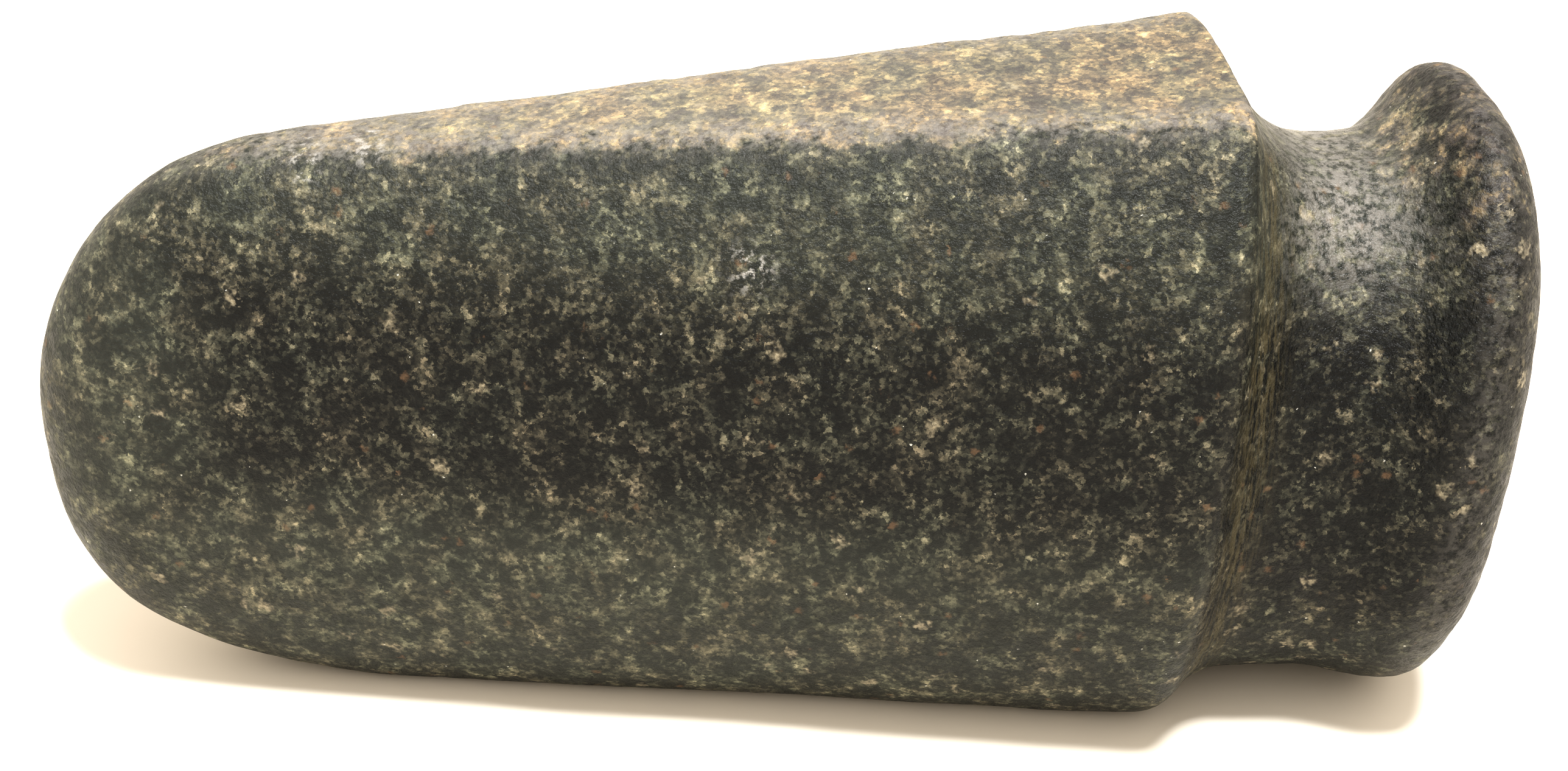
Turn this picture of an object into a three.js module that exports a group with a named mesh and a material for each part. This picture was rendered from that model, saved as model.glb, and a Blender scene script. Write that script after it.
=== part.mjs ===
// Full-grooved ground stone axe head, lying on its lower narrow side.
// Millimetres: +X runs from the bit to the poll, Y is the thickness, +Z is up.
// The origin is under the middle of the axe, on the plane that it rests on.
import * as THREE from "three";

// Driving dimensions. Stations run along the axe from the bit's tip.
const axeLength = 174;

const blade = {
  length: 135.3, // bit tip to the lip of the groove
  tipHeight: 34.6, // height of the bit's foremost point
  topAtBit: 68.4, // upper narrow side, before the bit's corner is rounded off
  topAtLip: 80.4,
  topBow: 0.8,
  upperCornerLength: 28.5, // how far the rounding of the bit's outline runs back
  upperCornerPower: 2.1,
  lowerCornerLength: 46,
  lowerCornerPower: 2.53,
  edgeHalf: 8.8, // half thickness behind the rounded cutting edge
  bevelLength: 12.1,
  bevelPower: 2,
  lipHalf: 31.5, // half thickness at the lip
  wedgePower: 0.99,
};

const facets = {
  start: 9.5, // station where the narrow sides begin
  topHalf: 16.7, // half width of the upper narrow side at the lip
  underHalf: 16.8,
  widest: 0.5, // level of the greatest thickness, as a share of the height
  bitPower: 2.1, // superellipse power of the broad faces
  lipPower: 2.3,
  powerSettled: 0.83, // share of the blade's length by which that power is reached
  arrisPower: 40, // sharpness of the edge between a broad face and a narrow side
};

const lip = {
  flare: 0.8, // how far the lip stands proud of the blade
  flareLength: 6,
  topFlareShare: 1.5, // that flare on the upper narrow side, as a multiple
  lean: 3.4, // the top of the lip lies this much nearer to the poll than its foot
  bow: 0.2, // the top and the foot of the lip lie this much nearer to the poll than its middle
  leanReach: 40, // length of blade over which the lean dies out
  wornRadius: 2, // the lip is rounded by wear on the broad faces
};

const groove = {
  wallLength: 15.6, // lip to the floor of the groove, on the narrow sides
  faceWallLength: 9, // and on the broad faces
  wallPower: 2.6,
  halfThickness: 24.1,
  top: 69.2,
  bottom: 2.2,
  widest: 0.44,
  power: 2.2,
};

const poll = {
  rimDistance: 29, // lip to the crest of the poll's rim
  risePower: 2.05, // lateness of the rise on the narrow sides
  faceRisePower: 1.2, // and on the broad faces
  riseStart: 0.8, // where the rise starts, as a share of the groove's wall
  halfThickness: 28.1,
  top: 77.4,
  bottom: 1.1,
  widest: 0.456,
  power: 2.3,
  domePower: 2.2,
  lean: 3.8,
  bow: -0.1,
};

const restFlat = 0.5; // depth rubbed off the underside to make the flat that it rests on

const stoneColour = 0x3b3d34;
const stoneRoughness = 0.55;

const ring = {
  pointsPerQuarter: 16,
  edgeAngle: 1.08, // radians from the broad face to the edge of a narrow side
  edgeShare: 0.625, // share of a quarter's points that lie on the broad face
  edgeCrowding: 1.3, // how strongly the points crowd towards that edge
};
const pointsAround = 4 * ring.pointsPerQuarter;
const stationCounts = { bit: 16, blade: 16, lip: 8, groove: 20, dome: 10 };
const lipZone = 10; // length of blade in front of the lip that has closer stations
const grooveCrowding = 1.3; // how strongly the groove's stations crowd towards the lip

const { lerp, clamp, smoothstep, smootherstep } = THREE.MathUtils;
const rightAngle = Math.PI / 2;

// One quarter of a superellipse: 0 at share 0, rising to 1 at share 1.
function roundedEnd(share, power) {
  return (1 - (1 - clamp(share, 0, 1)) ** power) ** (1 / power);
}

// The blade: a wedge in plan, with a rounded bit and a flared lip.
function bladeSection(station) {
  const share = Math.min(station, blade.length) / blade.length;
  const along = share * blade.length;
  const flare = lip.flare * Math.exp((along - blade.length) / lip.flareLength);
  const sideLine = lerp(blade.topAtBit, blade.topAtLip, share)
    + blade.topBow * 4 * share * (1 - share);
  const upperRound = roundedEnd(along / blade.upperCornerLength, blade.upperCornerPower);
  const lowerRound = roundedEnd(along / blade.lowerCornerLength, blade.lowerCornerPower);
  const top = lerp(blade.tipHeight, sideLine, upperRound) + flare * lip.topFlareShare;
  const bottom = lerp(blade.tipHeight, 0, lowerRound);
  const facetShare = clamp((along - facets.start) / (blade.length - facets.start), 0, 1);
  return {
    half: blade.edgeHalf * roundedEnd(along / blade.bevelLength, blade.bevelPower)
      + (blade.lipHalf - blade.edgeHalf) * share ** blade.wedgePower + flare,
    top,
    bottom,
    widest: lerp(bottom, top, facets.widest),
    topFacet: facets.topHalf * facetShare,
    underFacet: facets.underHalf * facetShare,
    power: lerp(facets.bitPower, facets.lipPower, smoothstep(share, 0, facets.powerSettled)),
  };
}

// The neck and the poll: ovals that swell from the groove to the rim and close in a dome.
function pollSection(station) {
  const past = station - blade.length;
  const riseFrom = groove.wallLength * poll.riseStart;
  const riseShare = clamp((past - riseFrom) / (poll.rimDistance - riseFrom), 0, 1);
  const rise = smootherstep(riseShare ** poll.risePower, 0, 1);
  const faceRise = smootherstep(riseShare ** poll.faceRisePower, 0, 1);
  const domeLength = axeLength - blade.length - poll.rimDistance;
  const dome = roundedEnd(1 - (past - poll.rimDistance) / domeLength, poll.domePower);
  const top = lerp(groove.top, poll.top, rise);
  const bottom = lerp(groove.bottom, poll.bottom, rise);
  const widest = lerp(bottom, top, lerp(groove.widest, poll.widest, rise));
  return {
    half: lerp(groove.halfThickness, poll.halfThickness, faceRise) * dome,
    top: lerp(widest, top, dome),
    bottom: lerp(widest, bottom, dome),
    widest,
    topFacet: 0,
    underFacet: 0,
    power: lerp(groove.power, poll.power, rise),
  };
}

// How much of the lip's height is left at a station: 1 up to the lip, 0 at the groove's floor.
function wallLeft(station, wallLength, wornRadius) {
  const past = station - blade.length;
  const wornPast = (past + Math.hypot(past, wornRadius)) / 2;
  return (1 - clamp(wornPast / wallLength, 0, 1)) ** groove.wallPower;
}

// Before the lip the section is the blade's; after it the groove's wall drops to the neck.
function sectionAt(station) {
  const wall = wallLeft(station, groove.wallLength, 0);
  const faceWall = wallLeft(station, groove.faceWallLength, lip.wornRadius);
  const front = bladeSection(station);
  const back = pollSection(station);
  const section = {};
  for (const key of Object.keys(front)) section[key] = lerp(back[key], front[key], wall);
  section.half = lerp(back.half, front.half, faceWall);
  return section;
}

// Lean and bow of the lip and the rim, by height, dying out towards the bit.
function leanAt(station, height) {
  const level = height / blade.topAtLip - 0.5; // -0.5 at the foot, 0.5 at the top
  const nearLip = smoothstep(1 - (blade.length - station) / lip.leanReach, 0, 1);
  const nearRim = smoothstep((station - blade.length) / poll.rimDistance, 0, 1);
  const lean = lerp(lip.lean, poll.lean, nearRim);
  const bow = lerp(lip.bow, poll.bow, nearRim);
  return nearLip * (lean * level + bow * 4 * level ** 2);
}

// A point on one section: a superellipse whose top and bottom are rubbed down to facets.
function sectionPoint(station, section, angle) {
  const across = Math.cos(angle);
  const upward = Math.sin(angle);
  const reach = upward >= 0 ? section.top - section.widest : section.widest - section.bottom;
  const facet = upward >= 0 ? section.topFacet : section.underFacet;
  const squash = (1 - (facet / section.half) ** section.power) ** (1 / section.power);
  const oval = (Math.abs(across) ** section.power
    + Math.abs(upward * squash) ** section.power) ** (1 / section.power);
  const sharp = facets.arrisPower;
  const clipped = (oval ** sharp + Math.abs(upward) ** sharp) ** (1 / sharp);
  const fullHeight = (squash ** sharp + 1) ** (1 / sharp);
  const height = section.widest + reach * upward * fullHeight / clipped;
  return new THREE.Vector3(
    station + leanAt(station, height),
    section.half * across / clipped,
    Math.max(height - restFlat, 0),
  );
}

// Angle of one point of a ring: each quarter runs from a broad face to a narrow side or back.
function ringAngle(step) {
  const quarter = Math.floor(step / ring.pointsPerQuarter);
  const share = (step % ring.pointsPerQuarter) / ring.pointsPerQuarter;
  const returning = quarter % 2 === 1;
  const fromFace = returning ? 1 - share : share;
  const sideAngle = rightAngle - ring.edgeAngle;
  const turned = fromFace < ring.edgeShare
    ? ring.edgeAngle * (1 - (1 - fromFace / ring.edgeShare) ** ring.edgeCrowding)
    : ring.edgeAngle + sideAngle
      * ((fromFace - ring.edgeShare) / (1 - ring.edgeShare)) ** ring.edgeCrowding;
  return quarter * rightAngle + (returning ? rightAngle - turned : turned);
}

// Stations along the axe, closer together where the form turns quickly.
function stationList() {
  const bitEnd = blade.lowerCornerLength;
  const lipStart = blade.length - lipZone;
  const rim = blade.length + poll.rimDistance;
  const spans = [
    [stationCounts.bit, (share) => bitEnd * (1 - Math.cos(share * rightAngle))],
    [stationCounts.blade, (share) => lerp(bitEnd, lipStart, share)],
    [stationCounts.lip, (share) => lerp(lipStart, blade.length, Math.sin(share * rightAngle))],
    [stationCounts.groove, (share) => lerp(blade.length, rim, share ** grooveCrowding)],
    [stationCounts.dome, (share) => lerp(rim, axeLength, Math.sin(share * rightAngle))],
  ];
  const stations = [];
  for (const [count, place] of spans) {
    for (let step = 1; step <= count; step += 1) stations.push(place(step / count));
  }
  stations.pop(); // the last station is the pole at the poll's end
  return stations;
}

// Rings of points joined by quads, closed by one point at the bit's tip and one at the poll.
function axeGeometry() {
  const stations = stationList();
  const points = [];
  for (const station of stations) {
    const section = sectionAt(station);
    for (let step = 0; step < pointsAround; step += 1) {
      points.push(sectionPoint(station, section, ringAngle(step)));
    }
  }
  const pollLevel = sectionAt(axeLength).widest;
  const tip = points.push(new THREE.Vector3(0, 0, blade.tipHeight - restFlat)) - 1;
  const end = points.push(new THREE.Vector3(
    axeLength + leanAt(axeLength, pollLevel), 0, pollLevel - restFlat)) - 1;

  const faces = [];
  const lastRing = (stations.length - 1) * pointsAround;
  for (let step = 0; step < pointsAround; step += 1) {
    const next = (step + 1) % pointsAround;
    faces.push(tip, next, step, end, lastRing + step, lastRing + next);
    for (let first = 0; first < lastRing; first += pointsAround) {
      const [a, b] = [first + step, first + next];
      const [c, d] = [b + pointsAround, a + pointsAround];
      faces.push(a, b, c, a, c, d);
    }
  }
  const geometry = new THREE.BufferGeometry().setFromPoints(points);
  geometry.setIndex(faces);
  geometry.computeBoundingBox();
  const { min, max } = geometry.boundingBox;
  geometry.translate(-(min.x + max.x) / 2, 0, 0);
  geometry.computeVertexNormals();
  return geometry;
}

const axeHead = new THREE.Mesh(axeGeometry(), new THREE.MeshStandardMaterial({
  color: stoneColour, roughness: stoneRoughness, metalness: 0,
}));
axeHead.name = "axe_head";

const axe = new THREE.Group();
axe.add(axeHead);

export default axe;
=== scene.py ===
# A ground and polished stone axe head lying on a pale table.
import itertools
import math
import bpy
import numpy as np
from mathutils import Matrix, Vector


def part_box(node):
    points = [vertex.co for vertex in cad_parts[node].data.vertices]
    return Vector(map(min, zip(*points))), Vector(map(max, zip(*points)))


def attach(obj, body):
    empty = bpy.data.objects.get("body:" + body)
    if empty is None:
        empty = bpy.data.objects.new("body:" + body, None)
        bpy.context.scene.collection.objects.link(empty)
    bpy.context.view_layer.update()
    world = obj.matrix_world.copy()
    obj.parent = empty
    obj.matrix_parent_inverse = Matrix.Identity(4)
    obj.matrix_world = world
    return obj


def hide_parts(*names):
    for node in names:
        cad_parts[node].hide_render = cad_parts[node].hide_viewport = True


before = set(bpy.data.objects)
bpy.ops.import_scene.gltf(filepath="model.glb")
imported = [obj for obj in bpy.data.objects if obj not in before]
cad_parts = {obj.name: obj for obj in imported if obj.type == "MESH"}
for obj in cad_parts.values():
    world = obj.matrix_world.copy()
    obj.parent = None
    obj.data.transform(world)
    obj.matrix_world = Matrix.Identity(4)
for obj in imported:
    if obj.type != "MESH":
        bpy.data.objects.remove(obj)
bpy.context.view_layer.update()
print("frame loaded")

mm = 0.001
leastLength = 1e-12  # keeps a division by a length safe

# Sizes are in millimetres. A station is a distance from the bit's tip along the axe.
axeValues = {
    "bladeLength": 135.3,
    "tipHeight": 34.6,
    "topAtBit": 68.4,
    "topAtLip": 80.4,
    "topBow": 0.8,
    "upperCornerLength": 28.5,
    "upperCornerPower": 2.1,
    "lowerCornerLength": 46.0,
    "lowerCornerPower": 2.53,
    "edgeHalf": 8.8,
    "bevelLength": 12.1,
    "bevelPower": 2.0,
    "lipHalf": 31.5,
    "wedgePower": 0.99,
    "facetStart": 9.5,
    "topFacetHalf": 16.7,
    "underFacetHalf": 16.8,
    "widest": 0.5,
    "bitPower": 2.1,
    "lipPower": 2.3,
    "powerSettled": 0.83,
    "arrisPower": 40.0,  # sharpness of the edge between a broad face and a narrow side
    "fullestFacet": 0.98,  # widest a facet may be, as a share of the section's half thickness
    "thinnest": 1e-4,  # least half thickness, which keeps the tip from being divided by 0
    "flare": 0.8,
    "flareLength": 6.0,
    "topFlareShare": 1.5,
    "lipLean": 3.4,
    "lipBow": 0.2,
    "leanReach": 40.0,
    "lipRadius": 0.35,  # at the top; the lip is more worn on its faces and its foot
    "wornLipRadius": 2.0,
    "lipWearPower": 3,  # how fast the radius grows away from the top
    "wallLength": 15.6,
    "faceWallLength": 9.0,
    "wallPower": 2.6,
    "neckHalf": 24.1,
    "neckTop": 69.2,
    "neckBottom": 2.2,
    "neckWidest": 0.44,
    "neckPower": 2.2,
    "rimDistance": 29.0,
    "risePower": 2.05,
    "faceRisePower": 1.2,
    "riseStart": 0.8,
    "pollHalf": 28.1,
    "pollTop": 77.4,
    "pollBottom": 1.1,
    "pollWidest": 0.456,
    "pollPower": 2.3,
    "domePower": 2.2,
    "pollLean": 3.8,
    "pollBow": -0.1,
    "restFlat": 0.5,
}

meshValues = {
    "around": 328,
    "bitRings": 50,
    "bladeRings": 110,
    "lipRings": 34,
    "grooveRings": 70,
    "domeRings": 36,
    "lipZone": 10.0,
    "grooveCrowding": 1.3,
    "edgeSine": 0.885,  # a ring's points crowd where the sine of their angle is near this
    "edgeSpread": 0.05,
    "edgeCrowding": 1.5,
    "turnSteps": 4000,
}


def lerp(a, b, share):
    return a + (b - a) * share


def smoothStep(x):
    # 3x^2 - 2x^3, held at 0 and 1 outside that range
    x = np.clip(x, 0.0, 1.0)
    return x * x * (3.0 - 2.0 * x)


def smootherStep(x):
    # 6x^5 - 15x^4 + 10x^3, held at 0 and 1 outside that range
    x = np.clip(x, 0.0, 1.0)
    return x ** 3 * (x * (6.0 * x - 15.0) + 10.0)


def riseFrom(x, start, reach):
    # a soft step from 0 at the start to 1 at the start plus the reach
    return smoothStep((x - start) / reach)


def fallTo(x, end, reach):
    # a soft step from 1 at the end less the reach to 0 at the end
    return smoothStep((end - x) / reach)


def hump(x, centre, reach):
    # exp(-((x - centre) / reach)^2)
    return np.exp(-((x - centre) / reach) ** 2)


def roundedEnd(share, power):
    # a quarter of a superellipse, from 0 at share 0 to 1 at share 1
    return (1.0 - (1.0 - np.clip(share, 0.0, 1.0)) ** power) ** (1.0 / power)


def bladeSection(station, v):
    # the wedge of the blade: the half thickness grows as the share x of the length to a power
    # near 1, the bit's outline and edge are quarter superellipses, the top is a line with a bow
    # 4x(1 - x), and the flare of the lip dies out towards the bit as exp(-distance)
    along = np.minimum(station, v["bladeLength"])
    share = along / v["bladeLength"]
    flare = v["flare"] * np.exp((along - v["bladeLength"]) / v["flareLength"])
    bow = v["topBow"] * 4.0 * share * (1.0 - share)
    sideLine = lerp(v["topAtBit"], v["topAtLip"], share) + bow
    upperRound = roundedEnd(along / v["upperCornerLength"], v["upperCornerPower"])
    lowerRound = roundedEnd(along / v["lowerCornerLength"], v["lowerCornerPower"])
    top = lerp(v["tipHeight"], sideLine, upperRound) + flare * v["topFlareShare"]
    bottom = lerp(v["tipHeight"], 0.0, lowerRound)
    facetLength = v["bladeLength"] - v["facetStart"]
    facetShare = np.clip((along - v["facetStart"]) / facetLength, 0.0, 1.0)
    edgeHalf = v["edgeHalf"] * roundedEnd(along / v["bevelLength"], v["bevelPower"])
    return {
        "half": edgeHalf + (v["lipHalf"] - v["edgeHalf"]) * share ** v["wedgePower"] + flare,
        "top": top,
        "bottom": bottom,
        "widest": lerp(bottom, top, v["widest"]),
        "topFacet": v["topFacetHalf"] * facetShare,
        "underFacet": v["underFacetHalf"] * facetShare,
        "power": lerp(v["bitPower"], v["lipPower"], smoothStep(share / v["powerSettled"])),
    }


def pollSection(station, v, axeLength):
    # ovals that swell from the groove to the poll's rim by a step 6x^5 - 15x^4 + 10x^3 and
    # close in a dome, whose outline is a quarter of a superellipse
    past = station - v["bladeLength"]
    riseStart = v["wallLength"] * v["riseStart"]
    riseShare = np.clip((past - riseStart) / (v["rimDistance"] - riseStart), 0.0, 1.0)
    rise = smootherStep(riseShare ** v["risePower"])
    faceRise = smootherStep(riseShare ** v["faceRisePower"])
    domeLength = axeLength - v["bladeLength"] - v["rimDistance"]
    dome = roundedEnd(1.0 - (past - v["rimDistance"]) / domeLength, v["domePower"])
    top = lerp(v["neckTop"], v["pollTop"], rise)
    bottom = lerp(v["neckBottom"], v["pollBottom"], rise)
    widest = lerp(bottom, top, lerp(v["neckWidest"], v["pollWidest"], rise))
    return {
        "half": lerp(v["neckHalf"], v["pollHalf"], faceRise) * dome,
        "top": lerp(widest, top, dome),
        "bottom": lerp(widest, bottom, dome),
        "widest": widest,
        "topFacet": 0.0 * station,
        "underFacet": 0.0 * station,
        "power": lerp(v["neckPower"], v["pollPower"], rise),
    }


def wallLeft(station, angle, wallLength, v):
    # how much of the lip's height is left past the lip: (1 - x)^power, with x held at 0 before
    # the lip and eased into its rise by the hyperbola (x + sqrt(x^2 + radius^2)) / 2
    past = station - v["bladeLength"]
    nearTop = np.maximum(np.sin(angle), 0.0) ** v["lipWearPower"]
    radius = lerp(v["wornLipRadius"], v["lipRadius"], nearTop)
    softPast = 0.5 * (past + np.sqrt(past ** 2 + radius ** 2))
    return (1.0 - np.clip(softPast / wallLength, 0.0, 1.0)) ** v["wallPower"]


def sectionAt(station, angle, v, axeLength):
    # the blade's section before the lip, the neck's after the groove's wall, and between them
    # a blend of the two
    front = bladeSection(station, v)
    back = pollSection(station, v, axeLength)
    wall = wallLeft(station, angle, v["wallLength"], v)
    section = {key: lerp(back[key], front[key], wall) for key in front}
    faceWall = wallLeft(station, angle, v["faceWallLength"], v)
    section["half"] = lerp(back["half"], front["half"], faceWall)
    return section


def leanAt(station, height, v):
    # how far the lip and the rim shift towards the poll: x for the lean and 4x^2 for the bow,
    # where x runs from -1/2 at the foot to 1/2 at the top; both die out towards the bit
    level = height / v["topAtLip"] - 0.5
    nearLip = smoothStep(1.0 - (v["bladeLength"] - station) / v["leanReach"])
    nearRim = smoothStep((station - v["bladeLength"]) / v["rimDistance"])
    lean = lerp(v["lipLean"], v["pollLean"], nearRim)
    bow = lerp(v["lipBow"], v["pollBow"], nearRim)
    return nearLip * (lean * level + bow * 4.0 * level ** 2)


def axeSurface(station, angle, v, axeLength):
    # each section is a superellipse |y/half|^n + |z/crown|^n = 1, with the crown at top and
    # bottom rubbed down to a facet by a second, much higher power
    section = sectionAt(station, angle, v, axeLength)
    across, upward = np.cos(angle), np.sin(angle)
    isUpper = upward >= 0.0
    upperReach = section["top"] - section["widest"]
    lowerReach = section["widest"] - section["bottom"]
    reach = np.where(isUpper, upperReach, lowerReach)
    facet = np.where(isUpper, section["topFacet"], section["underFacet"])
    power = section["power"]
    half = np.maximum(section["half"], v["thinnest"])
    facetShare = np.clip(facet / half, 0.0, v["fullestFacet"])
    squash = (1.0 - facetShare ** power) ** (1.0 / power)
    oval = (np.abs(across) ** power + np.abs(upward * squash) ** power) ** (1.0 / power)
    sharp = v["arrisPower"]
    clipped = (oval ** sharp + np.abs(upward) ** sharp) ** (1.0 / sharp)
    fullHeight = (squash ** sharp + 1.0) ** (1.0 / sharp)
    height = section["widest"] + reach * upward * fullHeight / clipped
    along = station + leanAt(station, height, v)
    points = np.stack(np.broadcast_arrays(
        along, half * across / clipped, height - v["restFlat"]), -1)
    arris = (np.abs(upward) - oval) * reach  # 0 on the edge between a broad and a narrow side
    return points, arris, facet


def steps(count):
    # even shares of 1, without 0
    return np.arange(1, count + 1) / count


def stationRings(v, m, axeLength):
    # stations bunch up at the tip, the lip and the poll's end, where the form turns quickly,
    # as sines and cosines of even steps of a quarter turn, and past the lip as a power
    bitEnd, lipStart = v["lowerCornerLength"], v["bladeLength"] - m["lipZone"]
    rim = v["bladeLength"] + v["rimDistance"]
    quarter = math.pi / 2
    return np.concatenate([
        bitEnd * (1.0 - np.cos(steps(m["bitRings"]) * quarter)),
        lerp(bitEnd, lipStart, steps(m["bladeRings"])),
        lerp(lipStart, v["bladeLength"], np.sin(steps(m["lipRings"]) * quarter)),
        lerp(v["bladeLength"], rim, steps(m["grooveRings"]) ** m["grooveCrowding"]),
        lerp(rim, axeLength, np.sin(steps(m["domeRings"]) * quarter))[:-1],
    ])


def ringAngles(m):
    # even steps of a running total of density, which peaks where |sin| is that of the four edges
    turn = np.linspace(0.0, 2.0 * math.pi, m["turnSteps"] + 1)
    nearEdge = hump(np.abs(np.sin(turn)), m["edgeSine"], m["edgeSpread"])
    total = np.cumsum(1.0 + m["edgeCrowding"] * nearEdge)
    total = (total - total[0]) / (total[-1] - total[0])
    return np.interp(np.arange(m["around"]) / m["around"], total, turn)


noiseEntries = 8192
latticeKeys = (73856093, 19349663, 83492791)


def valueNoise(points, cell, seed):
    # random values at the corners of a cubic lattice, each found by a scrambled key of its
    # corner, and blended between the corners by 3x^2 - 2x^3
    table = np.random.default_rng(seed).random(noiseEntries) * 2.0 - 1.0
    place = points / cell
    corner = np.floor(place).astype(np.int64)
    blendBy = smoothStep(place - corner)
    total = 0.0
    for step in itertools.product((0, 1), repeat=3):
        keyed = (corner + step) * latticeKeys
        key = keyed[..., 0] ^ keyed[..., 1] ^ keyed[..., 2]
        share = np.abs(1 - np.array(step) - blendBy).prod(-1)
        total = total + table[key % noiseEntries] * share
    return total


def gridNormals(points):
    # cross product of the two grid directions; the angle direction wraps round
    alongStation = np.gradient(points, axis=0)
    aroundRing = np.roll(points, -1, axis=1) - np.roll(points, 1, axis=1)
    normals = np.cross(aroundRing, alongStation)
    lengths = np.linalg.norm(normals, axis=-1, keepdims=True)
    return normals / np.maximum(lengths, leastLength)


reliefValues = {
    "broadHeight": 0.25,  # soft unevenness left by grinding by hand
    "broadCell": 21.0,
    "middleHeight": 0.12,
    "middleCell": 7.5,
    "edgeHeight": 0.20,  # small chips and bruises along the edges of the narrow sides
    "edgeCell": 2.6,
    "edgeDetail": 0.5,
    "edgeDetailCell": 0.4,  # as a share of the larger cell
    "peckHeight": 0.10,  # pecked finish of the neck and the poll
    "polishHeight": 0.045,
    "peckCell": 2.3,
    "peckDetail": 0.6,
    "peckDetailCell": 0.5,
    "seeds": (11, 12, 13, 14, 15, 16),  # broad, middle, two for pecking, two for the edges
}


def surfaceRelief(points, peck, edge, r):
    # height of the unevenness, in millimetres, as a sum of noises at several sizes
    cells = (
        r["broadCell"], r["middleCell"],
        r["peckCell"], r["peckCell"] * r["peckDetailCell"],
        r["edgeCell"], r["edgeCell"] * r["edgeDetailCell"],
    )
    broad, middle, fine, finest, bruise, bruiseDetail = [
        valueNoise(points, cell, seed) for cell, seed in zip(cells, r["seeds"])]
    pecking = (fine + r["peckDetail"] * finest) * lerp(r["polishHeight"], r["peckHeight"], peck)
    bruises = (bruise + r["edgeDetail"] * bruiseDetail) * r["edgeHeight"] * edge
    return broad * r["broadHeight"] + middle * r["middleHeight"] + bruises + pecking


# Where each finish lies, in millimetres, and how strong it is. Past means past the lip.
finishValues = {
    "polishLevel": 47.0,  # the middle of a broad face is the best polished and the darkest, with neither haze nor painted sheen
    "polishHalf": 7.0,
    "hazeAndSheenReach": 14.0,
    "upperHazeAndSheen": 0.85,  # strength of the haze and painted sheen above the middle
    "lipHazeAndSheen": 0.68,  # and near the lip
    "lipHazeAndSheenStart": 80.0,
    "lipHazeAndSheenReach": 50.0,
    "bitHazeAndSheenEnd": 29.0,
    "bitHazeAndSheenReach": 18.0,
    "footHazeAndSheen": 0.6,  # and at the very foot, where less haze and sheen paint the shade along the table
    "footHazeAndSheenReach": 7.0,
    "neckTopLevel": 54.0,
    "neckTopReach": 12.0,
    "neckEnd": 28.0,
    "neckEndReach": 8.0,
    "neckFootLevel": 26.0,
    "neckFootReach": 14.0,
    "neckFootHazeAndSheen": 0.5,
    "pollTopLevel": 58.0,
    "pollTopReach": 14.0,
    "pollTopPast": 12.0,
    "pollTopPastReach": 10.0,
    "pollTopTan": 0.42,  # how far the poll's top takes the narrow side's colour
    "rubbedSheenPast": 14.0,  # the best rubbed place, high on the neck: smoother, and lighter by a painted highlight
    "rubbedSheenLevel": 66.0,
    "rubbedSheenPastReach": 7.5,
    "rubbedSheenLevelReach": 6.0,
    "rubbedSheenStrength": 1.6,
    # strength of the rim's wear; the same mask carries the painted highlight on the neck
    "rimWearAndNeckSheen": 0.4,
    "rimReach": 2.4,
    "peckPast": 1.0,
    "peckReach": 6.0,
    "dirtPast": 3.4,
    "dirtReach": 2.8,
    "lipReach": 0.4,
    "upperSharpness": 4.0,  # how quickly the upper half takes over from the lower one
    "sideMiddle": 0.58,  # how far the step to the narrow side's colour has gone at the arris
    "sideReach": 5.0,
    "sideGrowth": 4.0,  # how quickly it comes in as the narrow side widens from the bit
    "wearPlace": 0.4,
    "wearReach": 1.5,
    "wearGrowth": 5.0,
    "underWear": 0.35,
    "scuffMarks": ((41.0, 72.5, 1.5), (34.0, 70.4, 1.5), (83.0, 63.8, 2.2)),  # station, level, reach
}


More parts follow.
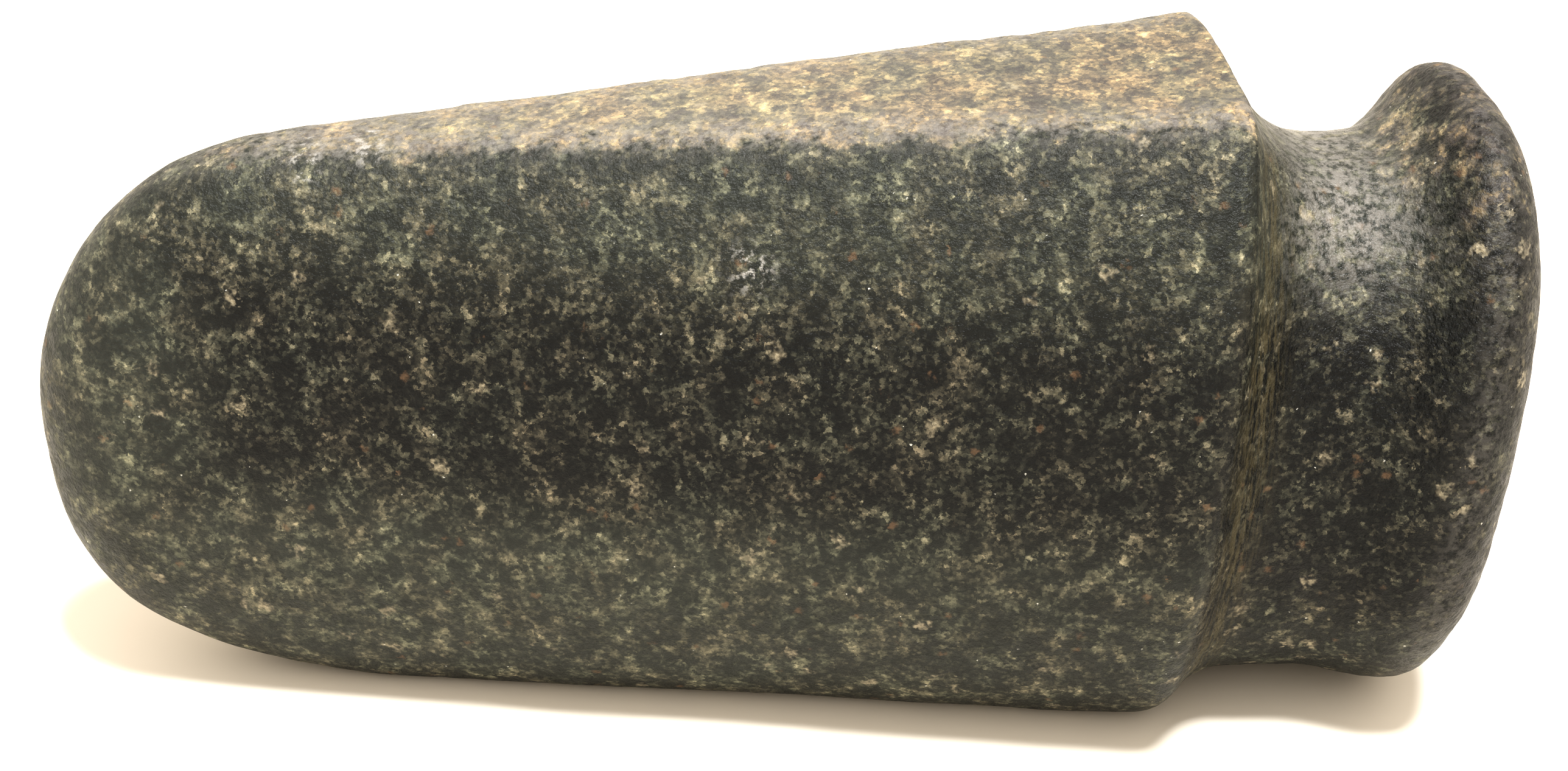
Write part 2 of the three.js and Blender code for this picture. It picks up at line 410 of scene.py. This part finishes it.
def finishMasks(points, arris, facet, station, angle, v, f):
    # each mask is a product of soft steps 3x^2 - 2x^3 and humps exp(-x^2) of the place on the axe,
    # and where two marks share a mask the stronger one counts
    level = points[..., 2]
    past = station - v["bladeLength"]
    everywhere = np.ones_like(arris)
    onBlade = fallTo(past, f["lipReach"], 2.0 * f["lipReach"])
    facetShare = np.clip(facet / v["topFacetHalf"], 0.0, 1.0)
    upper = smoothStep(0.5 + np.sin(angle) * f["upperSharpness"])

    above = level - f["polishLevel"]
    fromMiddle = riseFrom(np.abs(above), f["polishHalf"], f["hazeAndSheenReach"])
    fromMiddle = fromMiddle * np.where(above > 0, f["upperHazeAndSheen"], 1.0)
    nearLip = riseFrom(station, f["lipHazeAndSheenStart"], f["lipHazeAndSheenReach"])
    fromMiddle = fromMiddle * lerp(1.0, f["lipHazeAndSheen"], nearLip)
    nearBit = fallTo(station, f["bitHazeAndSheenEnd"], f["bitHazeAndSheenReach"]) * everywhere
    neckTop = riseFrom(level, f["neckTopLevel"], f["neckTopReach"])
    neckTop = neckTop * fallTo(past, f["neckEnd"], f["neckEndReach"])
    neckFoot = fallTo(level, f["neckFootLevel"], f["neckFootReach"]) * f["neckFootHazeAndSheen"]
    bladeHazeAndSheen = np.maximum(fromMiddle, nearBit) * onBlade
    neckHazeAndSheen = np.maximum(neckTop, neckFoot) * (1.0 - onBlade)
    footHazeAndSheen = lerp(f["footHazeAndSheen"], 1.0, smoothStep(level / f["footHazeAndSheenReach"]))

    side = smoothStep(f["sideMiddle"] + arris / f["sideReach"])
    side = side * smoothStep(facetShare * f["sideGrowth"]) * upper * onBlade
    pollTop = riseFrom(level, f["pollTopLevel"], f["pollTopReach"])
    pollTop = pollTop * riseFrom(past, f["pollTopPast"], f["pollTopPastReach"])
    edgeWear = hump(arris, f["wearPlace"], f["wearReach"]) * smoothStep(facetShare * f["wearGrowth"])
    # the rubbed neck is smoother, and its pale colour is a painted highlight
    rubbedNeckSheen = hump(past, f["rubbedSheenPast"], f["rubbedSheenPastReach"])
    rubbedNeckSheen = rubbedNeckSheen * hump(level, f["rubbedSheenLevel"], f["rubbedSheenLevelReach"]) * f["rubbedSheenStrength"]
    scuff = 0.0
    for markStation, markLevel, reach in f["scuffMarks"]:
        away = np.hypot(station - markStation, level - markLevel)
        scuff = np.maximum(scuff, hump(away, 0.0, reach) * (points[..., 1] < 0.0))
    return {
        "peck": riseFrom(past, f["peckPast"], f["peckReach"]) * everywhere,
        "grooveDirt": hump(past, f["dirtPast"], f["dirtReach"]) * everywhere,
        "narrowSide": np.maximum(side, pollTop * (1.0 - onBlade) * f["pollTopTan"]),
        "edgeWear": edgeWear * onBlade * lerp(f["underWear"], 1.0, upper),
        "rimWearAndNeckSheen": np.maximum(f["rimWearAndNeckSheen"] * hump(past, v["rimDistance"], f["rimReach"]), rubbedNeckSheen),
        "scuff": scuff,
        # haze is partly the stone's duller film and partly painted light: sheen high on each face and
        # on the neck's top, reflected table light low on the faces, the bit and the neck's foot, and
        # painted shade at the very foot
        "hazeAndSheen": np.maximum(bladeHazeAndSheen, neckHazeAndSheen) * footHazeAndSheen,
    }


def makeAxeHead(v, m, r, f):
    # a grid of stations by angles, pushed out along its normals by the relief, and closed by
    # a fan of triangles at the bit's tip and at the poll's end
    low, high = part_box("axe_head")
    axeLength = (high.x - low.x) / mm
    station = stationRings(v, m, axeLength)[:, None]
    angle = ringAngles(m)[None, :]
    points, arris, facet = axeSurface(station, angle, v, axeLength)
    masks = finishMasks(points, arris, facet, station, angle, v, f)
    relief = surfaceRelief(points, masks["peck"], masks["edgeWear"], r)
    points = points + gridNormals(points) * relief[..., None]

    tip = np.array([0.0, 0.0, v["tipHeight"] - v["restFlat"]])
    end = points[-1].mean(0)
    end[0] = axeLength
    allPoints = np.concatenate([points.reshape(-1, 3), [tip, end]])
    allPoints[:, 0] += low.x / mm
    allPoints[:, 2] = np.maximum(allPoints[:, 2], 0.0)
    allPoints *= mm

    rings, around = arris.shape
    index = np.arange(rings * around).reshape(rings, around)
    ahead = np.roll(index, -1, axis=1)
    quads = np.stack([index[:-1], ahead[:-1], ahead[1:], index[1:]], -1).reshape(-1, 4)
    tipIndex, endIndex = rings * around, rings * around + 1
    tipFan = np.stack([np.full(around, tipIndex), ahead[0], index[0]], -1)
    endFan = np.stack([np.full(around, endIndex), index[-1], ahead[-1]], -1)
    mesh = bpy.data.meshes.new("axe_head_stone")
    mesh.from_pydata(allPoints.tolist(), [], quads.tolist() + tipFan.tolist() + endFan.tolist())
    for name, mask in masks.items():
        layer = mesh.attributes.new(name, "FLOAT", "POINT")
        values = np.concatenate([mask.ravel(), [mask[0].mean(), mask[-1].mean()]])
        layer.data.foreach_set("value", values.astype(np.float32))
    mesh.shade_smooth()
    mesh.validate()
    piece = bpy.data.objects.new("axe_head_stone", mesh)
    bpy.context.scene.collection.objects.link(piece)
    return piece


axePiece = makeAxeHead(axeValues, meshValues, reliefValues, finishValues)
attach(axePiece, "root")
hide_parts("axe_head")
print("axe head made:", len(axePiece.data.polygons), "faces")


def addNode(tree, kind, values=None, **settings):
    # the values go into sockets or are linked to them; the settings are the node's own
    node = tree.nodes.new(kind)
    for name, value in settings.items():
        setattr(node, name, value)
    for name, value in (values or {}).items():
        if isinstance(value, bpy.types.NodeSocket):
            tree.links.new(value, node.inputs[name])
        else:
            node.inputs[name].default_value = value
    return node


def maths(tree, operation, a, b):
    return addNode(tree, "ShaderNodeMath", {0: a, 1: b}, operation=operation).outputs[0]


def product(tree, a, b):
    return maths(tree, "MULTIPLY", a, b)


def swing(tree, value, amount):
    # the amount times how far the value lies from a half
    return product(tree, maths(tree, "SUBTRACT", value, 0.5), amount)


def vectorMaths(tree, operation, a, b=(0.0, 0.0, 0.0), **values):
    sockets = {0: a, 1: b, **values}
    return addNode(tree, "ShaderNodeVectorMath", sockets, operation=operation).outputs[0]


def blendColours(tree, share, a, b, mode="MIX"):
    # on this node inputs 6 and 7 are the two colours, and output 2 is the blend
    sockets = {0: share, 6: a, 7: b}
    node = addNode(tree, "ShaderNodeMix", sockets, data_type="RGBA", blend_type=mode)
    return node.outputs[2]


def remap(tree, value, start, end, ends, curve):
    sockets = {"Value": value, "From Min": start, "From Max": end, "To Min": ends[0], "To Max": ends[1]}
    return addNode(tree, "ShaderNodeMapRange", sockets, interpolation_type=curve).outputs[0]


def softStep(tree, value, start, end, ends=(0.0, 1.0)):
    # 3x^2 - 2x^3 from one end to the other, as the value goes from the start to the end
    return remap(tree, value, start, end, ends, "SMOOTHSTEP")


def between(tree, share, ends):
    # a straight line from one end to the other, as the share goes from 0 to 1
    return remap(tree, share, 0.0, 1.0, ends, "LINEAR")


def colour(red, green, blue):
    return (red, green, blue, 1.0)


def mapped(tree, vector, **values):
    return addNode(tree, "ShaderNodeMapping", {"Vector": vector, **values}).outputs[0]


def noise(tree, vector, n):
    # size is the width of one lump, in millimetres
    return addNode(tree, "ShaderNodeTexNoise", {
        "Vector": vector, "Scale": 1.0 / n["size"], "Detail": n["detail"],
        "Roughness": n["roughness"]}).outputs


def movedNoise(tree, vector, n):
    return noise(tree, mapped(tree, vector, Location=n["offset"]), n)["Fac"]


def toneRamp(tree, value, stops):
    ramp = addNode(tree, "ShaderNodeValToRGB", {"Fac": value})
    elements = ramp.color_ramp.elements
    while len(elements) < len(stops):
        elements.new(0.5)
    for element, (position, shade) in zip(elements, stops):
        element.position = position
        element.color = colour(*shade)
    return ramp.outputs[0]


def pieceMask(tree, name):
    return addNode(tree, "ShaderNodeAttribute", attribute_name=name).outputs["Fac"]


grainWobble = {"size": 0.45, "detail": 2.0, "roughness": 0.6}


def makeGrainGroup(wobble):
    # ragged mineral grains: a chosen share of the cells holds one, and each has its own random tone
    tree = bpy.data.node_groups.new("mineral grains", "ShaderNodeTree")
    sockets = tree.interface
    sockets.new_socket(name="Vector", in_out="INPUT", socket_type="NodeSocketVector")
    for name in ("Size", "Cover", "Reach", "Softness", "Raggedness"):
        sockets.new_socket(name=name, in_out="INPUT", socket_type="NodeSocketFloat")
    for name in ("Mask", "Tone"):
        sockets.new_socket(name=name, in_out="OUTPUT", socket_type="NodeSocketFloat")
    inside = tree.nodes.new("NodeGroupInput").outputs
    outside = tree.nodes.new("NodeGroupOutput").inputs
    density = maths(tree, "DIVIDE", 1.0, inside["Size"])
    scaled = vectorMaths(tree, "SCALE", inside["Vector"], Scale=density)
    shift = noise(tree, scaled, wobble)["Color"]
    centred = vectorMaths(tree, "SUBTRACT", shift, (0.5, 0.5, 0.5))
    spread = vectorMaths(tree, "SCALE", centred, Scale=inside["Raggedness"])
    cells = addNode(tree, "ShaderNodeTexVoronoi", {
        "Vector": vectorMaths(tree, "ADD", scaled, spread), "Scale": 1.0}).outputs
    chance = addNode(tree, "ShaderNodeSeparateColor", {"Color": cells["Color"]}).outputs
    chosen = maths(tree, "LESS_THAN", chance["Red"], inside["Cover"])
    outer = maths(tree, "ADD", inside["Reach"], inside["Softness"])
    body = softStep(tree, cells["Distance"], outer, inside["Reach"])
    tree.links.new(product(tree, chosen, body), outside["Mask"])
    tree.links.new(chance["Green"], outside["Tone"])
    return tree


grainGroup = makeGrainGroup(grainWobble)


def grains(tree, vector, cover, g):
    # a grain is full up to its reach from the cell's own point, and fades out over its softness
    return addNode(tree, "ShaderNodeGroup", {
        "Vector": vector, "Size": g["size"], "Cover": cover, "Reach": g["reach"],
        "Softness": g["softness"], "Raggedness": g["raggedness"]}, node_tree=grainGroup).outputs


def movedGrains(tree, vector, cover, g):
    return grains(tree, mapped(tree, vector, Location=g["offset"]), cover, g)


stoneValues = {
    "faceTones": (
        (0.27, (0.0014, 0.0023, 0.0030)),
        (0.41, (0.0031, 0.0044, 0.0052)),
        (0.50, (0.0084, 0.0096, 0.0092)),
        (0.60, (0.0238, 0.0250, 0.0210)),
        (0.73, (0.0640, 0.0635, 0.0500)),
        (0.86, (0.1700, 0.1580, 0.1220)),
    ),
    "sideTones": (
        (0.27, (0.028, 0.026, 0.029)),
        (0.41, (0.042, 0.040, 0.038)),
        (0.50, (0.064, 0.057, 0.048)),
        (0.60, (0.096, 0.082, 0.061)),
        (0.73, (0.160, 0.129, 0.085)),
        (0.86, (0.270, 0.223, 0.148)),
    ),
    "cream": colour(0.31, 0.275, 0.20),
    "rust": colour(0.20, 0.125, 0.072),
    # colour of the painted glints
    "paintedGlint": colour(0.55, 0.55, 0.51),
    # pale colour of wear, also used for the painted highlight on the neck
    "wear": colour(0.22, 0.21, 0.195),
    "dirt": colour(0.100, 0.086, 0.048),
    "hazeAndSheenGain": colour(2.4, 2.4, 2.3),
    "hazeAndSheenTint": colour(0.0172, 0.0182, 0.0138),
    "greenish": colour(0.97, 1.0, 0.95),
    "brownish": colour(1.08, 1.0, 0.93),
    "scuff": colour(0.36, 0.355, 0.34),
    "specularLevel": 0.30,
    # noises
    "clouds": {"size": 3.4, "detail": 5.0, "roughness": 0.72, "offset": (31, 7, 55)},
    "patches": {"size": 5.5, "detail": 3.0, "roughness": 0.6, "offset": (3, 44, 9)},
    "ragged": {"size": 2.4, "detail": 4.0, "roughness": 0.65, "offset": (12, 9, 81)},
    "drift": {"size": 7.0, "detail": 3.0, "roughness": 0.6, "offset": (8, 27, 66)},
    "scuffs": {"size": 1.1, "detail": 4.0, "roughness": 0.7, "offset": (80, 2, 5)},
    "pits": {"size": 0.5, "detail": 3.0, "roughness": 0.65, "offset": (55, 71, 20)},
    "dirtLines": {"size": 0.5, "detail": 3.0, "roughness": 0.7},
    "dirtStretch": (1.0, 0.12, 0.12),
    # crystals; size is the width of one cell, and reach, softness and raggedness are shares of it
    "coarse": {"size": 1.05, "reach": 0.2, "softness": 0.3, "raggedness": 1.4},
    "small": {"size": 0.5, "reach": 0.2, "softness": 0.3, "raggedness": 1.1, "offset": (5, 60, 12)},
    "creams": {"size": 2.5, "reach": 0.05, "softness": 0.50, "raggedness": 1.5, "offset": (64, 21, 3)},
    "rusts": {"size": 1.7, "reach": 0.08, "softness": 0.36, "raggedness": 1.0, "offset": (90, 15, 40)},
    "paintedGlints": {"size": 0.45, "reach": 0.16, "softness": 0.2, "raggedness": 1.1, "offset": (17, 33, 71)},
    "tonedCover": 1.0,  # cover is the share of the cells that hold a crystal
    "creamCovers": (0.035, 0.10),  # on the blade, and on the pecked neck and poll
    "creamStrengths": (0.25, 1.0),  # weakest and strongest
    "rustCover": 0.045,
    "rustStrength": 0.4,
    "glintClouds": (0.5, 0.7),  # painted white glints grow commoner between these two values of the clouds
    "glintCovers": (0.0, 0.02),
    # how much the crystals vary the tone, where the stone is clear and where it is hazy with painted
    # sheen
    "smallShares": (0.32, 0.17),
    "coarseShares": (0.25, 0.19),
    "peckShift": 0.03,  # how far pecking shifts the tone, towards dark
    # the ragged border of the upper narrow side, then the drift of hue and the uneven haze and painted
    # sheen
    "sideRagged": 1.3,
    "sidePatches": 0.9,
    "sideBorder": (0.35, 0.65),
    "sideStart": (0.0, 0.1),
    "hueDrift": (0.35, 0.65),
    "hazeAndSheenPatches": (0.25, 0.60),
    "hazeAndSheenStrengths": (0.75, 1.0),
    # wear with the painted highlight on the neck, dirt and scuffs: a span is the value of the noise at
    # which each starts and is full
    "wornAndSheenSpan": (0.38, 0.60),
    "wornAndSheenStrength": 0.5,
    "soiledSpan": (0.40, 0.62),
    "soiledStrength": 0.6,
    "scuffSpan": (0.50, 0.64),
    # finish
    "toneHeight": 0.5,  # how far pale crystals stand out, against the pits
    "bumpStrength": 0.8,
    "bumpDistance": 0.00038,  # in metres
    "roughnesses": (0.34, 0.56),
    "rubbedRoughness": (1.0, 0.6),  # times the roughness, where the stone isn't rubbed and where it is
}


def toneValue(tree, place, masks, noises, v):
    # crystals of two sizes and a cloudy unevenness add up to one value, which picks the tone
    coarse = grains(tree, place, v["tonedCover"], v["coarse"])
    small = movedGrains(tree, place, v["tonedCover"], v["small"])
    smallPart = swing(tree, small["Tone"], between(tree, masks["hazeAndSheen"], v["smallShares"]))
    coarsePart = swing(tree, coarse["Tone"], between(tree, masks["hazeAndSheen"], v["coarseShares"]))
    crystals = maths(tree, "ADD", coarsePart, smallPart)
    cloudy = maths(tree, "ADD", crystals, noises["clouds"])
    value = maths(tree, "SUBTRACT", cloudy, product(tree, masks["peck"], v["peckShift"]))
    return value, coarse, small


def groundColour(tree, value, masks, noises, v):
    # the paler upper narrow side has a ragged border; a slow drift of hue lies over all
    side = masks["narrowSide"]
    border = maths(tree, "ADD", side, swing(tree, noises["ragged"], v["sideRagged"]))
    border = maths(tree, "ADD", border, swing(tree, noises["patches"], v["sidePatches"]))
    onSide = softStep(tree, side, *v["sideStart"])
    sideShare = product(tree, softStep(tree, border, *v["sideBorder"]), onSide)
    faceTone = toneRamp(tree, value, v["faceTones"])
    sideTone = toneRamp(tree, value, v["sideTones"])
    base = blendColours(tree, sideShare, faceTone, sideTone)
    drift = softStep(tree, noises["drift"], *v["hueDrift"])
    hue = blendColours(tree, drift, v["greenish"], v["brownish"])
    base = blendColours(tree, 1.0, base, hue, "MULTIPLY")

    # a dull haze, paler than the stone, away from the best polished part of each broad face; partly the
    # stone's own duller film and partly painted light: sheen and reflected table light on the upper and
    # lower face, the bit and the neck
    uneven = softStep(tree, noises["patches"], *v["hazeAndSheenPatches"], v["hazeAndSheenStrengths"])
    hazeAndSheenShare = product(tree, masks["hazeAndSheen"], uneven)
    base = blendColours(tree, hazeAndSheenShare, base, v["hazeAndSheenGain"], "MULTIPLY")
    return blendColours(tree, hazeAndSheenShare, base, v["hazeAndSheenTint"], "ADD")


def singleCrystals(tree, place, base, masks, noises, small, v):
    # cream ones, commoner on the pecked poll, rust ones, and a few painted white glints
    creamCover = between(tree, masks["peck"], v["creamCovers"])
    cream = movedGrains(tree, place, creamCover, v["creams"])
    creamShare = product(tree, cream["Mask"], between(tree, small["Tone"], v["creamStrengths"]))
    base = blendColours(tree, creamShare, base, v["cream"])
    rust = movedGrains(tree, place, v["rustCover"], v["rusts"])
    base = blendColours(tree, product(tree, rust["Mask"], v["rustStrength"]), base, v["rust"])
    glintCover = softStep(tree, noises["clouds"], *v["glintClouds"], v["glintCovers"])
    paintedGlints = movedGrains(tree, place, glintCover, v["paintedGlints"])
    return blendColours(tree, paintedGlints["Mask"], base, v["paintedGlint"])


def wearAndDirt(tree, place, base, masks, noises, v):
    # pale scuffed edges and rim, a painted highlight high on the neck in the same pale colour, and dirt
    # in the corner of the groove
    wornEdgesAndNeckSheen = maths(tree, "MAXIMUM", masks["edgeWear"], masks["rimWearAndNeckSheen"])
    wornAndSheen = product(tree, wornEdgesAndNeckSheen, softStep(tree, noises["scuffs"], *v["wornAndSheenSpan"]))
    base = blendColours(tree, product(tree, wornAndSheen, v["wornAndSheenStrength"]), base, v["wear"])
    stretched = mapped(tree, place, Scale=v["dirtStretch"])
    lines = noise(tree, stretched, v["dirtLines"])["Fac"]
    soiled = product(tree, masks["grooveDirt"], softStep(tree, lines, *v["soiledSpan"]))
    base = blendColours(tree, product(tree, soiled, v["soiledStrength"]), base, v["dirt"])
    knocked = product(tree, masks["scuff"], softStep(tree, noises["scuffs"], *v["scuffSpan"]))
    return blendColours(tree, knocked, base, v["scuff"])


def makeStone(v):
    material = bpy.data.materials.new("polished speckled stone")
    material.use_nodes = True
    tree = material.node_tree
    tree.nodes.clear()
    coords = addNode(tree, "ShaderNodeTexCoord").outputs["Object"]
    place = mapped(tree, coords, Scale=(1.0 / mm, 1.0 / mm, 1.0 / mm))
    maskNames = ("peck", "narrowSide", "hazeAndSheen", "edgeWear", "rimWearAndNeckSheen", "grooveDirt", "scuff")
    masks = {name: pieceMask(tree, name) for name in maskNames}
    noiseNames = ("clouds", "patches", "ragged", "drift", "scuffs", "pits")
    noises = {name: movedNoise(tree, place, v[name]) for name in noiseNames}

    value, coarse, small = toneValue(tree, place, masks, noises, v)
    base = groundColour(tree, value, masks, noises, v)
    base = singleCrystals(tree, place, base, masks, noises, small, v)
    base = wearAndDirt(tree, place, base, masks, noises, v)

    # finish: pits between the crystals, each of which takes its own polish
    hollows = maths(tree, "ADD", noises["pits"], noises["ragged"])
    height = maths(tree, "ADD", hollows, product(tree, value, v["toneHeight"]))
    bump = addNode(tree, "ShaderNodeBump", {
        "Strength": v["bumpStrength"], "Distance": v["bumpDistance"], "Height": height})
    polish = between(tree, coarse["Tone"], v["roughnesses"])
    roughness = product(tree, polish, between(tree, masks["rimWearAndNeckSheen"], v["rubbedRoughness"]))
    shader = addNode(tree, "ShaderNodeBsdfPrincipled", {
        "Base Color": base, "Roughness": roughness, "Normal": bump.outputs[0],
        "Specular IOR Level": v["specularLevel"]})
    output = addNode(tree, "ShaderNodeOutputMaterial")
    tree.links.new(shader.outputs[0], output.inputs["Surface"])
    return material


axePiece.data.materials.append(makeStone(stoneValues))
print("stone finished")


# Metres, watts and degrees; the lens is in millimetres.
setting = {
    "tableSize": 6.0,
    "tableColour": colour(0.74, 0.70, 0.63),
    "tableRoughness": 0.9,
    "skyColour": (1.0, 0.90, 0.78),
    "skyStrength": 1.16,
    "ceilingPower": 6.0,
    "ceilingSize": 2.0,
    "ceilingPlace": (0.0, -0.55, 1.6),
    "lampPower": 32.0,
    "lampSize": 0.2,
    "lampPlace": (0.17, -0.38, 1.6),
    "lampAim": (0.0, 0.0, 0.03),
    "cameraAzimuth": -4.05,
    "cameraElevation": 30.05,
    "cameraRoll": 1.27,
    "cameraDistance": 0.2851,
    "lens": 54.17,
    "clipStart": 0.01,
    "target": (0.00119, 0.0, 0.03838),
}


def makeTable(v):
    half = v["tableSize"] / 2
    mesh = bpy.data.meshes.new("table")
    corners = [(-half, -half, 0.0), (half, -half, 0.0), (half, half, 0.0), (-half, half, 0.0)]
    mesh.from_pydata(corners, [], [(0, 1, 2, 3)])
    table = bpy.data.objects.new("table", mesh)
    bpy.context.scene.collection.objects.link(table)
    material = bpy.data.materials.new("pale table")
    material.use_nodes = True
    shader = material.node_tree.nodes["Principled BSDF"]
    shader.inputs["Base Color"].default_value = v["tableColour"]
    shader.inputs["Roughness"].default_value = v["tableRoughness"]
    shader.inputs["Specular IOR Level"].default_value = 0.0
    mesh.materials.append(material)


def makeLamp(name, size, power, place, target):
    lamp = bpy.data.lights.new(name, "AREA")
    lamp.shape = "SQUARE"
    lamp.size = size
    lamp.energy = power
    lampObject = bpy.data.objects.new(name, lamp)
    lampObject.location = place
    aim = Vector(target) - Vector(place)
    lampObject.rotation_euler = aim.to_track_quat("-Z", "Y").to_euler()
    bpy.context.scene.collection.objects.link(lampObject)


def makeLight(v):
    world = bpy.data.worlds.new("soft room")
    world.use_nodes = True
    background = world.node_tree.nodes["Background"]
    background.inputs["Color"].default_value = (*v["skyColour"], 1.0)
    background.inputs["Strength"].default_value = v["skyStrength"]
    bpy.context.scene.world = world
    aim = v["lampAim"]
    makeLamp("ceiling panel", v["ceilingSize"], v["ceilingPower"], v["ceilingPlace"], aim)
    makeLamp("overhead softbox", v["lampSize"], v["lampPower"], v["lampPlace"], aim)


def makeCamera(v):
    azimuth, elevation = math.radians(v["cameraAzimuth"]), math.radians(v["cameraElevation"])
    roll = math.radians(v["cameraRoll"])
    level = math.cos(elevation)
    back = Vector((math.sin(azimuth) * level, -math.cos(azimuth) * level, math.sin(elevation)))
    right = Vector((math.cos(azimuth), math.sin(azimuth), 0.0))
    up = back.cross(right)
    turned = Matrix((right * math.cos(roll) + up * math.sin(roll),
                     up * math.cos(roll) - right * math.sin(roll), back)).transposed()
    camera = bpy.data.cameras.new("camera")
    camera.lens = v["lens"]
    camera.clip_start = v["clipStart"]
    cameraObject = bpy.data.objects.new("camera", camera)
    place = Vector(v["target"]) + back * v["cameraDistance"]
    cameraObject.matrix_world = Matrix.Translation(place) @ turned.to_4x4()
    bpy.context.scene.collection.objects.link(cameraObject)
    bpy.context.scene.camera = cameraObject


makeTable(setting)
makeLight(setting)
makeCamera(setting)
bpy.context.scene.view_settings.view_transform = "Standard"
bpy.context.scene.view_settings.look = "High Contrast"
print("table, light and camera made")
